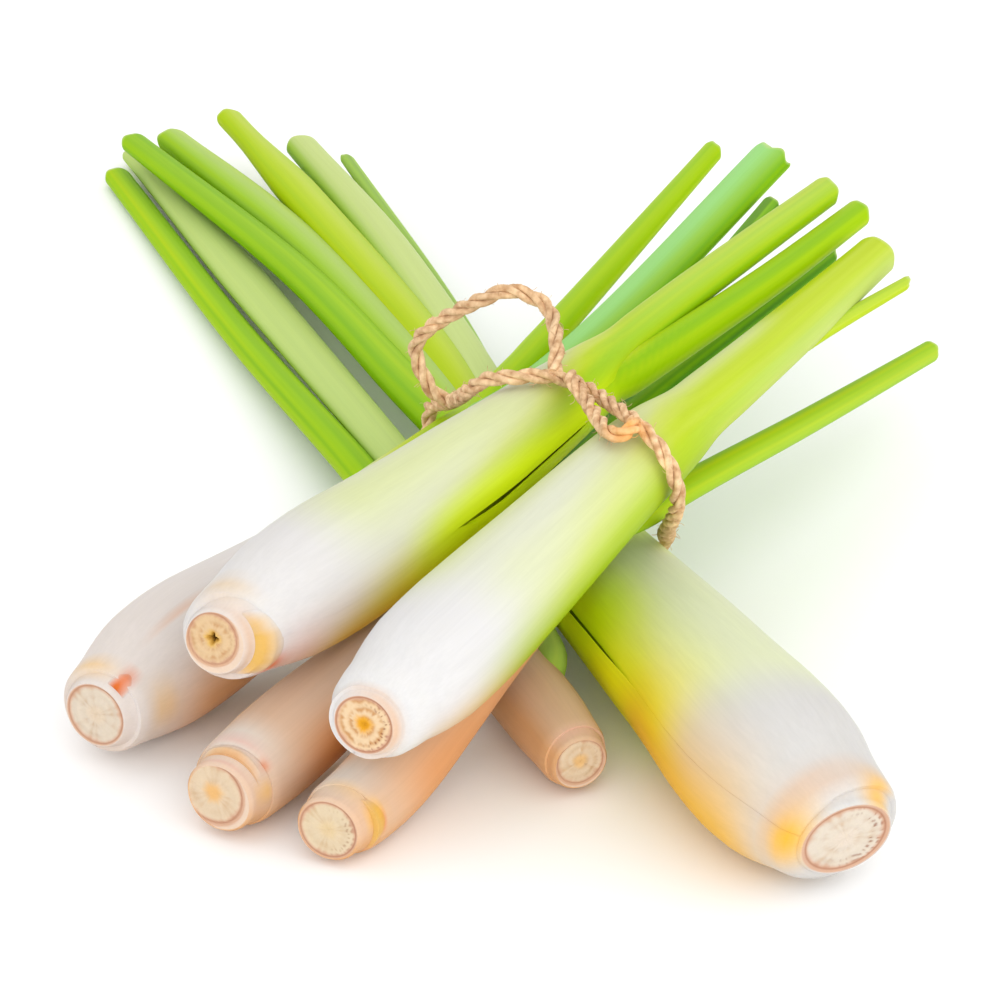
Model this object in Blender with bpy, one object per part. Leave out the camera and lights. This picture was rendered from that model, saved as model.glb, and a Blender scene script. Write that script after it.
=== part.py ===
"""A tied bunch of seven cut lemongrass stalks, lying down.

Each stalk is one solid: a cut base, a swollen base of wrapped leaf sheaths, a neck and rolled
leaves. Two stalks lie on top, three under them, and two more cross below those. One length of
twine goes round the crossing, with a loose ear and a hooked end. Units here are millimetres,
turned into metres when a mesh is made. X is right, Y is away, Z is up, and the surface is Z = 0.
"""

import math

import bmesh
import bpy
from mathutils import Vector

MM = 0.001
BODY_SIDES = 22
BODY_STEP = 8.0
LEAF_SIDES = 8
LEAF_STEP = 14.0
ROUTE_FINE = 12

# Base of every stalk: a cut face, a bare ring, and the step up to the next leaf scar
CUT_BEVEL = 0.35
RING_LENGTH = 1.6
RING_STEP = 0.6
RING_SLOPE = 0.3
# The cut face may be skew; the rings behind it turn square to the stalk over this length
CUT_BLEND = 9.0

# The outermost sheath overlaps itself: its free edge stands this proud of what it covers
SHEATH_EDGE = 0.45
# It grows out over this length from the base and winds this far round by the neck
SHEATH_RUN = 10.0
SHEATH_TURN = 0.6

# Rings of a body crowd towards its base, where the girth changes fast
CROWDING = 0.3
# Blunt leaf tip: distance back from the end and width, both over the tip's half width
TIP_ROWS = [(0.55, 1.0), (0.15, 0.8), (0.0, 0.45)]

# The twine: radius, and the spacing of the points of its tube
TWINE_RADIUS = 1.0
TWINE_STEP = 4.0

# Skin of a stalk this close above the surface is pressed flat onto it, where the bunch rests
STALK_REST = 0.8
# The twine underneath is pressed less
TWINE_REST = 0.3

# Shift that puts the middle of the whole bunch's box on the origin
CENTRE = (1.0, 25.8, 0.0)


class Stalk:
    """One stalk: route, (distance, half width) rows, leaves, thickness over width at the neck,
    where the sheath's free edge runs, and the way the cut face looks."""

    def __init__(self, name, route, girth, leaves, flat, edge_turn, cut_faces):
        self.name = name
        self.route = route
        self.girth = girth
        self.leaves = leaves
        self.flat = flat
        self.edge_turn = edge_turn
        self.cut_faces = cut_faces


class Leaf:
    """A rolled leaf: its route, (fraction of length, half width) rows, thickness over width."""

    def __init__(self, route, girth, flat=0.8):
        self.route = route
        self.girth = girth
        self.flat = flat


UPPER_LEFT = Stalk(
    "stalk_upper_left",
    route=[
        (-35, -48, 22.5), (-23.6, -35.7, 24.1), (-11, -22.4, 26.3),
        (4, -5.8, 29.8), (16.2, 11.6, 31.1), (24, 24, 31.3),
    ],
    girth=[(0, 4.3), (6, 7.4), (18, 9.1), (38, 7.8), (58, 5.8), (76, 4.6), (90, 2.0)],
    leaves=[
        Leaf([(7.8, -0.4, 30.8), (21, 19, 32.3), (33, 36, 33), (44.6, 54, 32.5)], [(0, 3.2), (1, 2.3)]),
        Leaf([(8.8, -3, 29.5), (23, 13.5, 30.8), (36, 31, 31), (48.9, 51.3, 30.5)], [(0, 3.1), (1, 2.1)]),
    ],
    flat=0.88,
    edge_turn=2.2,
    cut_faces=(-0.40, -0.90, 0.19),
)

UPPER_RIGHT = Stalk(
    "stalk_upper_right",
    route=[
        (-16.5, -63, 20), (-6.5, -51, 23.8), (4.5, -37, 27.9),
        (16, -20.5, 31.2), (28, 1, 31), (36, 13.5, 30.8),
    ],
    girth=[(0, 4.2), (6, 7.6), (14, 8.4), (22, 8.2), (38, 7.2), (56, 6.2), (76, 4.4), (94, 2.4)],
    leaves=[
        Leaf([(20, -13.5, 31), (34.8, 11, 31), (50.7, 40, 30)], [(0, 4.9), (1, 3.1)]),
        Leaf([(29, 1, 29.8), (41, 18, 29.2), (54.5, 34, 29)], [(0, 1.7), (1, 0.95)]),
    ],
    flat=0.86,
    edge_turn=-0.8,
    cut_faces=(-0.38, -0.92, 0.10),
)

LOWER_LEFT = Stalk(
    "stalk_lower_left",
    route=[(-50.5, -41.5, 8), (-39.5, -25.5, 8.7), (-23, -10, 12.6), (-4, 14, 17.8), (4, 32, 18.7)],
    girth=[(0, 4.6), (7, 7.6), (17, 9.1), (38, 7.2), (62, 5.0), (84, 2.4)],
    leaves=[
        Leaf([(-6, 12, 17.5), (8, 40.5, 19), (30.4, 89, 21)], [(0, 2.6), (1, 1.6)]),
        Leaf([(-4, 10, 18), (14.6, 40.5, 20), (38.3, 86.3, 21.5)], [(0, 3.3), (1, 3.0)], 0.4),
    ],
    flat=0.86,
    edge_turn=2.0,
    cut_faces=(-0.50, -0.86, 0.05),
)

LOWER_MIDDLE = Stalk(
    "stalk_lower_middle",
    route=[(-34.5, -57.5, 6), (-27, -46.5, 7), (-9.5, -27, 13.7), (5, -10, 20.5), (10.5, 1.5, 21)],
    girth=[(0, 4.7), (6, 6.0), (15, 6.4), (36, 5.0), (58, 3.7), (72, 2.0)],
    leaves=[
        Leaf([(1.5, -14.5, 19.4), (13.5, 13, 21.3), (38, 72, 21)], [(0, 2.2), (1, 1.5)]),
        Leaf([(2.5, -14.5, 19.4), (17, 11, 21.8), (45.5, 55.5, 22)], [(0, 2.2), (1, 1.4)]),
    ],
    flat=0.88,
    edge_turn=1.0,
    cut_faces=(-0.48, -0.87, 0.05),
)

LOWER_RIGHT = Stalk(
    "stalk_lower_right",
    route=[(-21, -63.5, 5.2), (-14, -53.5, 6.2), (-0.8, -36.5, 14.2), (12.3, -19.5, 21.6), (19.6, -10.8, 21.3)],
    girth=[(0, 4.3), (6, 5.2), (14, 5.6), (36, 4.2), (58, 3.3), (70, 2.0)],
    leaves=[
        Leaf([(12, -21.5, 21), (23.2, -7.2, 20.6), (41, 18.5, 16.5), (59, 46, 12)], [(0, 2.4), (1, 1.65)]),
    ],
    flat=0.88,
    edge_turn=1.5,
    cut_faces=(-0.40, -0.91, 0.05),
)

CROSSING_LARGE = Stalk(
    "stalk_crossing_large",
    route=[
        (41.6, -72.5, 9.8), (33.5, -58, 10.9), (23, -31.5, 9.6),
        (11.5, -6.5, 9.6), (0, 23.5, 8.5), (-5, 36, 8.5),
    ],
    girth=[(0, 6.2), (5, 9.2), (10, 10.9), (19, 11.8), (44, 10.1), (72, 8.3), (100, 6.6), (118, 3.0)],
    leaves=[
        Leaf([(-2.5, 22, 8.5), (-12.5, 42, 8.5), (-29, 77, 8), (-54.1, 120.2, 6.5)], [(0, 3.4), (1, 1.9)]),
        Leaf([(-1.5, 24, 9), (-10, 45, 8.5), (-27.5, 84.5, 7.5), (-48.6, 122.2, 6)], [(0, 3.3), (0.8, 2.9), (1, 2.2)]),
        Leaf(
            [(-0.5, 26, 9.5), (-9, 51.5, 9.5), (-26, 93, 8.5), (-40.2, 126.4, 7.5)],
            [(0, 3.0), (0.8, 3.0), (0.88, 1.9), (1, 1.9)],
        ),
        Leaf(
            [(1, 26, 9), (-4.6, 47.5, 9), (-16.5, 84.5, 8.5), (-29.2, 118, 7)],
            [(0, 3.7), (0.6, 3.1), (1, 2.3)],
        ),
        Leaf([(2, 32, 8), (-7.5, 67.5, 8), (-22.5, 114, 7)], [(0, 1.6), (1, 0.95)]),
    ],
    flat=0.8,
    edge_turn=-2.2,
    cut_faces=(0.35, -0.90, -0.26),
)

CROSSING_SMALL = Stalk(
    "stalk_crossing_small",
    route=[(10, -48, 4.9), (5, -35.5, 5), (-3.5, -17, 5.8), (-14, 8, 6.8), (-18, 18, 6.6)],
    girth=[(0, 3.7), (6, 4.8), (14, 5.2), (36, 4.6), (62, 3.6), (74, 2.2)],
    leaves=[
        Leaf([(-12, 3, 6.8), (-19.2, 24, 6), (-36.8, 67.5, 3), (-56.6, 119.3, 1.3)], [(0, 2.7), (1, 1.9)]),
        Leaf(
            [(5.5, -38, 6), (6.2, -26, 7.8), (-3, -3, 8.2), (-14.3, 26, 6.9), (-33.8, 75, 4.5), (-54, 126, 1.5)],
            [(0, 2.0), (0.4, 3.0), (0.75, 3.4), (1, 2.2)],
            0.55,
        ),
    ],
    flat=0.9,
    edge_turn=0.6,
    cut_faces=(0.38, -0.92, 0.0),
)

STALKS = [UPPER_LEFT, UPPER_RIGHT, LOWER_LEFT, LOWER_MIDDLE, LOWER_RIGHT, CROSSING_LARGE, CROSSING_SMALL]

# The loop goes over the two upper stalks, down their right side, under everything and up again
TWINE_LOOP = [
    (-6.5, 10, 24), (-5.1, 2.8, 28.8), (-3.6, -2.8, 33.2), (-1.5, -4.8, 35.6), (1.9, -6.3, 36.7), (5.7, -6, 36.7),
    (9, -6.2, 36.1), (11.8, -9.8, 36.5), (14.3, -15.6, 37.7), (17.2, -21.2, 38.3), (20.2, -24.5, 36.2),
    (22, -25.7, 32.3), (22.2, -23.6, 27.5), (21.6, -18.7, 22.4), (21.1, -13, 17.6), (21.7, -7, 14),
    (21, -2.2, 9.5), (18, -0.2, 4.3), (12.5, 0.8, 1.4), (6, 1.8, 1.35), (-2, 2.5, 1.35), (-10, 3.5, 1.4),
    (-16, 4.7, 2.3), (-19.3, 6.6, 5.9), (-19.2, 9.5, 10), (-14.7, 13, 11.6), (-10.6, 16.2, 13.3),
    (-9.5, 17.2, 16.5), (-9, 15.7, 20.2),
]
# The ear stands up from the crossing on top and comes down beside the upper left stalk
TWINE_EAR = [
    (7, -5.7, 37), (7.2, -1.5, 39.5), (6, 3.7, 41.5), (1.7, 5.2, 43), (-1.8, 5.2, 42), (-6.3, 8.2, 38),
    (-9.8, 10.7, 34), (-11, 11.6, 31), (-10.2, 10.8, 28), (-8.6, 9.8, 25.5), (-6.5, 9.5, 24.3),
]
# The loose end runs beside the loop and hooks back over it
TWINE_END = [
    (9, -6.2, 36.7), (9.5, -9.8, 37.6), (11.2, -15, 37.6), (12.8, -21.2, 38), (14.3, -24.6, 38.6),
    (16.2, -24.2, 39), (16.9, -21, 38.4),
]

# Stand-in colours: stalks pale green, twine tan
STALK_COLOUR = (0.72, 0.80, 0.42, 1.0)
TWINE_COLOUR = (0.62, 0.42, 0.24, 1.0)


def clear_scene():
    for old in list(bpy.data.objects):
        bpy.data.objects.remove(old)


def material(name, colour, roughness):
    made = bpy.data.materials.new(name)
    made.use_nodes = True
    shader = made.node_tree.nodes["Principled BSDF"]
    shader.inputs["Base Color"].default_value = colour
    shader.inputs["Roughness"].default_value = roughness
    shader.inputs["Metallic"].default_value = 0.0
    return made


def smooth_route(points, closed=False):
    """A Catmull-Rom curve through the points, as a dense list."""
    points = [Vector(p) for p in points]
    if closed:
        ends = [points[-1]] + points + points[:2]
    else:
        ends = [points[0] * 2 - points[1]] + points + [points[-1] * 2 - points[-2]]
    dense = []
    for i in range(1, len(ends) - 2):
        a, b, c, d = ends[i - 1 : i + 3]
        for k in range(ROUTE_FINE):
            t = k / ROUTE_FINE
            bend = (2 * a - 5 * b + 4 * c - d) * t * t + (3 * b - a - 3 * c + d) * t**3
            dense.append(0.5 * (2 * b + (c - a) * t + bend))
    dense.append(ends[-2])
    return dense


def lengths(dense):
    along = [0.0]
    for a, b in zip(dense, dense[1:]):
        along.append(along[-1] + (b - a).length)
    return along


def place(dense, along, s):
    """The point and the direction at a distance s along a dense route."""
    for i in range(len(along) - 1):
        if s <= along[i + 1] or i == len(along) - 2:
            step = along[i + 1] - along[i]
            point = dense[i].lerp(dense[i + 1], (s - along[i]) / step)
            return point, (dense[i + 1] - dense[i]).normalized()


def eased(table, s):
    """The value at s from a short table, eased between its rows."""
    if s <= table[0][0]:
        return table[0][1]
    for (s0, v0), (s1, v1) in zip(table, table[1:]):
        if s <= s1:
            t = (s - s0) / (s1 - s0)
            t = t * t * (3 - 2 * t) * 0.5 + t * 0.5
            return v0 + (v1 - v0) * t
    return table[-1][1]


def swept(rings):
    """A closed mesh from rings of points, with a flat face at each end."""
    mesh = bmesh.new()
    loops = [[mesh.verts.new(Vector(p) * MM) for p in ring] for ring in rings]
    for low, high in zip(loops, loops[1:]):
        count = len(low)
        for i in range(count):
            j = (i + 1) % count
            mesh.faces.new((low[i], low[j], high[j], high[i]))
    mesh.faces.new(list(reversed(loops[0])))
    mesh.faces.new(loops[-1])
    bmesh.ops.recalc_face_normals(mesh, faces=mesh.faces)
    return mesh


def as_object(name, mesh):
    data = bpy.data.meshes.new(name)
    mesh.to_mesh(data)
    mesh.free()
    made = bpy.data.objects.new(name, data)
    bpy.context.scene.collection.objects.link(made)
    return made


def ring_at(point, along, half_width, half_height, sides, edge=0.0, turn=0.0):
    """An oval round a point, across a direction. An edge makes it one turn of a flat spiral."""
    side = along.cross(Vector((0, 0, 1))).normalized()
    up = side.cross(along).normalized()
    ring = []
    for i in range(sides):
        angle = 2 * math.pi * (i + 0.5) / sides
        lap = ((angle - turn) / (2 * math.pi)) % 1.0
        grow = 1.0 + edge * lap / max(half_width, 1.0)
        across = side * (half_width * grow * math.cos(angle))
        ring.append(point + across + up * (half_height * grow * math.sin(angle)))
    return ring


def stalk_body(stalk):
    """The solid from the cut base to the end of the neck."""
    dense = smooth_route(stalk.route)
    along = lengths(dense)
    total = along[-1]
    cut = stalk.girth[0][1]
    cut_faces = -Vector(stalk.cut_faces).normalized()
    stations = [(0.0, cut - CUT_BEVEL), (CUT_BEVEL, cut), (RING_LENGTH, cut)]
    first = RING_LENGTH + RING_SLOPE
    count = max(4, round((total - first) / BODY_STEP))
    for i in range(count + 1):
        t = i / count
        s = first + (total - first) * ((1 - CROWDING) * t + CROWDING * t * t)
        stations.append((s, eased(stalk.girth, s) + (RING_STEP if i == 0 else 0.0)))
    rings = []
    for s, radius in stations:
        point, direction = place(dense, along, s)
        straight = min(1.0, s / CUT_BLEND)
        direction = cut_faces.lerp(direction, straight).normalized()
        t = s / total
        flat = 1.0 + (stalk.flat - 1.0) * min(1.0, 1.5 * t)
        edge = SHEATH_EDGE * min(1.0, max(0.0, (s - first) / SHEATH_RUN))
        turn = stalk.edge_turn + SHEATH_TURN * t
        rings.append(ring_at(point, direction, radius, radius * flat, BODY_SIDES, edge, turn))
    return as_object(stalk.name, swept(rings))


def leaf_solid(leaf, name):
    """A rolled leaf with its root cut square inside the neck, and a blunt rounded tip."""
    dense = smooth_route(leaf.route)
    along = lengths(dense)
    total = along[-1]
    count = max(3, round(total / LEAF_STEP))
    stations = [(total * i / count, eased(leaf.girth, i / count)) for i in range(count)]
    tip = leaf.girth[-1][1]
    stations += [(total - back * tip, width * tip) for back, width in TIP_ROWS]
    rings = []
    for s, radius in stations:
        point, direction = place(dense, along, s)
        rings.append(ring_at(point, direction, radius, radius * leaf.flat, LEAF_SIDES))
    return as_object(name, swept(rings))


def twine_tube(name, route, closed=False):
    """A round tube along a smooth curve through the route's points."""
    dense = smooth_route(route, closed=closed)
    along = lengths(dense)
    count = round(along[-1] / TWINE_STEP)
    curve = bpy.data.curves.new(name, "CURVE")
    curve.dimensions = "3D"
    curve.bevel_depth = TWINE_RADIUS * MM
    curve.bevel_resolution = 2
    curve.use_fill_caps = not closed
    spline = curve.splines.new("POLY")
    spline.use_cyclic_u = closed
    spline.points.add(count - 1 if closed else count)
    for i, point in enumerate(spline.points):
        point.co = (*(place(dense, along, along[-1] * i / count)[0] * MM), 1.0)
    drawn = bpy.data.objects.new(name + "_curve", curve)
    bpy.context.scene.collection.objects.link(drawn)
    bpy.context.view_layer.update()
    graph = bpy.context.evaluated_depsgraph_get()
    mesh = bpy.data.meshes.new_from_object(drawn.evaluated_get(graph), depsgraph=graph)
    bpy.data.objects.remove(drawn)
    made = bpy.data.objects.new(name, mesh)
    bpy.context.scene.collection.objects.link(made)
    return made


def fuse(body, others):
    """Joins the others into the body as one closed solid."""
    group = bpy.data.collections.new(body.name + "_pieces")
    bpy.context.scene.collection.children.link(group)
    for other in others:
        bpy.context.scene.collection.objects.unlink(other)
        group.objects.link(other)
    union = body.modifiers.new("union", "BOOLEAN")
    union.operation = "UNION"
    union.operand_type = "COLLECTION"
    union.collection = group
    union.solver = "EXACT"
    bpy.context.view_layer.update()
    graph = bpy.context.evaluated_depsgraph_get()
    joined = bpy.data.meshes.new_from_object(body.evaluated_get(graph), depsgraph=graph)
    body.modifiers.clear()
    body.data = joined
    for other in others:
        bpy.data.objects.remove(other)
    bpy.data.collections.remove(group)


def settle(made, rest):
    """Shifts the mesh to the common origin and presses flat what is within rest of the surface."""
    for vertex in made.data.vertices:
        vertex.co -= Vector(CENTRE) * MM
        if vertex.co.z < rest * MM:
            vertex.co.z = 0.0


def make_stalk(stalk):
    body = stalk_body(stalk)
    leaves = [leaf_solid(leaf, f"{stalk.name}_leaf_{i}") for i, leaf in enumerate(stalk.leaves)]
    fuse(body, leaves)
    settle(body, STALK_REST)
    body.data.materials.clear()
    body.data.materials.append(material(stalk.name, STALK_COLOUR, 0.45))
    body.data.shade_smooth()
    body.data.set_sharp_from_angle(angle=math.radians(35))
    return body


def make_twine():
    loop = twine_tube("twine", TWINE_LOOP, closed=True)
    ear = twine_tube("twine_ear", TWINE_EAR)
    end = twine_tube("twine_end", TWINE_END)
    fuse(loop, [ear, end])
    settle(loop, TWINE_REST)
    loop.data.materials.clear()
    loop.data.materials.append(material("twine", TWINE_COLOUR, 0.9))
    loop.data.shade_smooth()


def main():
    clear_scene()
    for stalk in STALKS:
        make_stalk(stalk)
    make_twine()


main()
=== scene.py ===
# %% [markdown]
# # A tied bunch of lemongrass
# Seven cut stalks lie crossed on a table, and one length of twine holds them together. Every
# stalk is a white, swollen base of leaf sheaths wrapped round each other. Further up the sheaths
# part and become rolled green leaves, trimmed to about a hand's length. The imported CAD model
# gives the places and sizes. This script makes the skins, cut ends, leaves and twisted twine.

import math
from dataclasses import dataclass

import bpy
import numpy as np
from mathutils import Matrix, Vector


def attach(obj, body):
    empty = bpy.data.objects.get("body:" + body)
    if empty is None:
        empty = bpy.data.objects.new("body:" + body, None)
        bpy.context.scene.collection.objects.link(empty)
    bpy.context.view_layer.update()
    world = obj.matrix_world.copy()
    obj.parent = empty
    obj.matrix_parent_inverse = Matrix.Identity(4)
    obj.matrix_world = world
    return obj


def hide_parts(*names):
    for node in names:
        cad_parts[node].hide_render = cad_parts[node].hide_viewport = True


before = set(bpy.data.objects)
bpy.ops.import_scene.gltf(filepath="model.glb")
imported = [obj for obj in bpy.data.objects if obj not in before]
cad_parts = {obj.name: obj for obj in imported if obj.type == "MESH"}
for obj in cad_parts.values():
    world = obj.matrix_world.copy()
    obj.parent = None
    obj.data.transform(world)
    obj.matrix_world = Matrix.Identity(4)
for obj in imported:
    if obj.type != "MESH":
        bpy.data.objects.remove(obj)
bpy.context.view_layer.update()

# %% [markdown]
# ## Camera
# The photograph looks down on the bunch from about 30 degrees, from far away, so the stalks
# hardly shrink with distance. A long lens 0.8 m from the bunch gives the same picture. It comes
# first, because every later choice is judged through it.

# %% Camera
MM = 0.001
# The solids were laid out round another point and shifted by this much, in millimetres
CENTRE = np.array([1.0, 25.8, 0.0])
ELEVATION = math.radians(30)
CAMERA_DISTANCE = 800.0
SENSOR_WIDTH = 36.0
# How much the picture takes in at the bunch, and how high above the table its middle is
FRAME_WIDTH = 130.0
AIM_HEIGHT = 15.0


def add_object(name, data):
    """Puts a camera, a lamp, a curve or a mesh into the scene as an object at the origin."""
    made = bpy.data.objects.new(name, data)
    bpy.context.scene.collection.objects.link(made)
    return made


aim = Vector([*(-CENTRE[:2]), AIM_HEIGHT])
back = Vector((0, -math.cos(ELEVATION), math.sin(ELEVATION)))
lens = bpy.data.cameras.new("camera")
lens.sensor_width = SENSOR_WIDTH
lens.lens = SENSOR_WIDTH * CAMERA_DISTANCE / FRAME_WIDTH
camera = add_object("camera", lens)
camera.location = (aim + back * CAMERA_DISTANCE) * MM
camera.rotation_euler = back.to_track_quat("Z", "Y").to_euler()
bpy.context.scene.camera = camera
print("lens in mm:", round(lens.lens, 1))

# %% [markdown]
# ## The plan of a stalk
# A lemongrass stalk is all leaves. Each leaf starts at the base as a sheath that wraps right
# round the younger ones. Near the neck the sheath opens and narrows into a rolled blade.
# So a stalk is described by the line it grows along, a table of half widths from its cut base,
# and its leaves. The numbers are those of the solids, in millimetres, apart from one leaf that
# lies a hair to the right. Angles run round a stalk from its right side, over the top, seen
# from its base.

# %% Colours by name
def linear(*display):
    """A colour picked on a display, as the light it stands for."""
    display = np.array(display, float)
    return np.where(display <= 0.04045, display / 12.92, ((display + 0.055) / 1.055) ** 2.4)


# From the white base to a dark green tip
GROWTH = [
    (0.00, linear(0.93, 0.925, 0.92)),
    (0.14, linear(0.90, 0.92, 0.72)),
    (0.30, linear(0.86, 0.91, 0.42)),
    (0.50, linear(0.78, 0.88, 0.06)),
    (0.70, linear(0.65, 0.84, 0.00)),
    (0.86, linear(0.52, 0.76, 0.00)),
    (1.00, linear(0.34, 0.60, 0.00)),
]
# The lamps make the skin brighter than its own colour, so every colour is darkened by this
LIGHTNESS = 0.765
PALE_LEAF = linear(0.84, 0.91, 0.58)
BLUE_LEAF = linear(0.67, 0.92, 0.54)
TAN = linear(0.93, 0.72, 0.52)
RUST = linear(0.95, 0.61, 0.29)
# Peach of a dry flank, set brighter than the white skin so that the flank still looks lit where it
# lies in shade: painted light
PEACH_WITH_PAINTED_LIGHT = linear(1.04, 0.78, 0.54)
PINK = linear(0.95, 0.74, 0.68)
HONEY = linear(0.95, 0.76, 0.42)
# Amber of dried skin, set brighter than the white skin so that it still looks lit where it lies in
# shade: painted light
AMBER_WITH_PAINTED_LIGHT = linear(1.02, 0.78, 0.22)
# Olive of a yellowing flank, set brighter than any real skin to lift the flank that lies in shade
# between two stalks: painted light
OLIVE_WITH_PAINTED_LIGHT = linear(1.10, 1.11, 0.12)
VIVID = linear(0.62, 0.78, 0.00)
# Lime of a greening skin, set brighter than any real skin and laid where stalks lie in each other's
# shade: painted light
LIME_WITH_PAINTED_LIGHT = linear(0.97, 1.08, 0.08)
CREAM = linear(0.90, 0.93, 0.68)
IVORY = linear(0.94, 0.96, 0.80)
PEARL = linear(0.95, 0.92, 0.88)
# A grey that dims the white base of the large stalk below the others: painted shade
GREY_PAINTED_SHADE = linear(0.86, 0.85, 0.83)
STAIN = linear(0.93, 0.48, 0.22)
UP = math.pi / 2
print("the base gives back", round(float(LIGHTNESS * GROWTH[0][1].max()), 2), "of the light")


# %% Stalk and leaf descriptions
@dataclass
class Leaf:
    """A leaf: route of its blade, (fraction, half width) rows, and how its sheath lies.

    The outermost leaf has a sheath, the distance where it starts. It opens from a distance on,
    each free edge drawing back by its own angle, and one edge may stand off by a lift. A leaf
    from inside starts at some depth under the skin and wraps from one angle to another. The rib
    is the side of the rolled blade that stays whole. A leaf may be ahead in turning green. Tint
    is a second colour, its side and its strength. The cut tip is skewed and a little ragged."""

    route: list
    girth: list
    flat: float = 0.8
    sheath: float = None
    opens: float = None
    retreat: tuple = (0.8, 0.8)
    lift: float = 0.0
    starts: float = None
    wraps: tuple = None
    depth: float = 0.8
    rib: float = UP
    ahead: float = 0.0
    green: float = 0.8
    tint: tuple = (PALE_LEAF, 1.8, 0.4)
    skew: float = 0.7
    ragged: float = 0.12


@dataclass
class Stalk:
    """A stalk: its line, its girth, its leaves, its cut, and where its colours change.

    The seam of the outer sheath is at the angle turn. Ring is how far from the cut the sheath
    starts: the mean, the unevenness, and the side where it is furthest. A patch is a colour,
    the middle of its side, half its angle, its two ends along the stalk, and its strength.
    A scar is what is left of an older leaf: two angles, two distances, a height and a colour."""

    name: str
    route: list
    girth: list
    leaves: list
    flat: float
    turn: float
    cut_faces: tuple
    ring: tuple
    growth: dict
    tan: float
    patches: list
    face: dict
    scars: tuple = ()


# %% [markdown]
# Green comes with light, so a stalk turns from white to green with distance from its base, and
# on one side sooner. Growth holds that: where it starts, over what length, on which side it is
# early and by how much, and where the neck turns green all round. The stalks underneath are
# drier and more tan at the base, and the tan is painted stronger on the underside of every
# stalk as shade. A face holds the colours of the cut: its ground and its heart, the size of
# the ringed disc and how far it is off the middle, how deep its heart is hollow, which is also
# painted dark as shade, and how many rings, and how clear its dots, its rim and its lines are.

# %% The two stalks on top
upper_left = Stalk(
    "stalk_upper_left",
    route=[
        (-35, -48, 22.5), (-23.6, -35.7, 24.1), (-11, -22.4, 26.3),
        (4, -5.8, 29.8), (16.2, 11.6, 31.1), (24, 24, 31.3),
    ],
    girth=[(0, 4.3), (6, 7.4), (18, 9.1), (38, 7.8), (58, 5.8), (76, 4.6), (90, 2.0)],
    leaves=[
        Leaf(
            [(7.8, -0.4, 30.8), (21, 19, 32.3), (33, 36, 33), (44.6, 54, 32.5)],
            [(0, 3.2), (1, 2.3)], sheath=2.0, opens=33.0, retreat=(0.0, 2.6), lift=0.5,
            green=0.62, tint=(PALE_LEAF, 2.3, 0.3),
        ),
        Leaf(
            [(8.8, -3, 29.5), (23, 13.5, 30.8), (36, 31, 31), (48.9, 51.3, 30.5)],
            [(0, 3.1), (1, 2.1)], starts=31.0, wraps=(-2.6, -0.02), depth=-0.6,
            green=0.66, tint=(PALE_LEAF, 2.6, 0.06),
        ),
    ],
    flat=0.88,
    turn=0.1,
    cut_faces=(-0.40, -0.90, 0.19),
    ring=(1.6, 1.4, 0.3),
    growth=dict(start=55, length=40, side=-0.8, early=52, neck=78),
    tan=0.10,
    patches=[
        # Olive, amber and lime lie in the valley beside the next stalk and are set bright there as
        # painted light against its shade
        (CREAM, 1.5, 1.5, 14, 64, 0.9), (OLIVE_WITH_PAINTED_LIGHT, -0.9, 1.6, 14, 66, 0.9),
        (AMBER_WITH_PAINTED_LIGHT, -0.9, 1.5, 5, 34, 0.8), (LIME_WITH_PAINTED_LIGHT, 0.1, 0.8, 24, 76, 0.8),
        (PINK, -0.6, 1.2, 1, 15, 0.6), (STAIN, -0.6, 0.5, 1.6, 6.5, 0.8),
        (HONEY, 1.8, 1.1, 0.5, 6, 0.4), (TAN, 0.0, 3.1, -1.0, 2.6, 0.6),
    ],
    face=dict(
        ground=(0.92, 0.79, 0.62), heart=(0.92, 0.73, 0.32), disc=0.88, off=(-0.10, 0.10),
        hollow=0.8, rings=3.0, dots=0.3, rim=0.8, lines=0.6,
    ),
    scars=[(-1.1, 1.0, 1.3, 5.0, 1.0, HONEY)],
)

upper_right = Stalk(
    "stalk_upper_right",
    route=[
        (-16.5, -63, 20), (-6.5, -51, 23.8), (4.5, -37, 27.9),
        (16, -20.5, 31.2), (28, 1, 31), (36, 13.5, 30.8),
    ],
    girth=[(0, 4.2), (6, 7.6), (14, 8.4), (22, 8.2), (38, 7.2), (56, 6.2), (76, 4.4), (94, 2.4)],
    leaves=[
        Leaf(
            [(20, -13.5, 31), (34.8, 11, 31), (50.7, 40, 30)],
            [(0, 4.9), (1, 3.1)], sheath=0.8, opens=50.0, retreat=(0.9, 0.2),
            green=0.48, tint=(PALE_LEAF, -0.9, 0.6),
        ),
        Leaf(
            [(29, 1, 29.8), (41, 18, 29.2), (54.5, 34, 29)],
            [(0, 1.7), (1, 0.95)], green=0.52, tint=(PALE_LEAF, 1.8, 0.2),
        ),
    ],
    flat=0.86,
    turn=-1.9,
    cut_faces=(-0.38, -0.92, 0.10),
    ring=(0.5, 0.3, 0.0),
    growth=dict(start=46, length=40, side=-0.8, early=48, neck=90),
    tan=0.04,
    patches=[
        (CREAM, 0.9, 1.3, 16, 60, 0.6), (VIVID, -0.8, 1.5, 10, 74, 0.95),
        (CREAM, 2.4, 1.2, 12, 100, 0.95), (RUST, -1.0, 1.1, 0.5, 26, 0.5),
        (TAN, -0.8, 1.2, 0.5, 24, 0.5), (TAN, 0.2, 3.0, -0.8, 1.3, 0.7),
    ],
    face=dict(
        ground=(0.96, 0.84, 0.68), heart=(0.95, 0.68, 0.16), disc=1.0, off=(0.0, 0.0),
        hollow=0.1, rings=3.2, dots=1.8, rim=1.0, lines=1.3,
    ),
)

print("widest of the two in mm:", max(2 * wide for _, wide in upper_left.girth + upper_right.girth))

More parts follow.
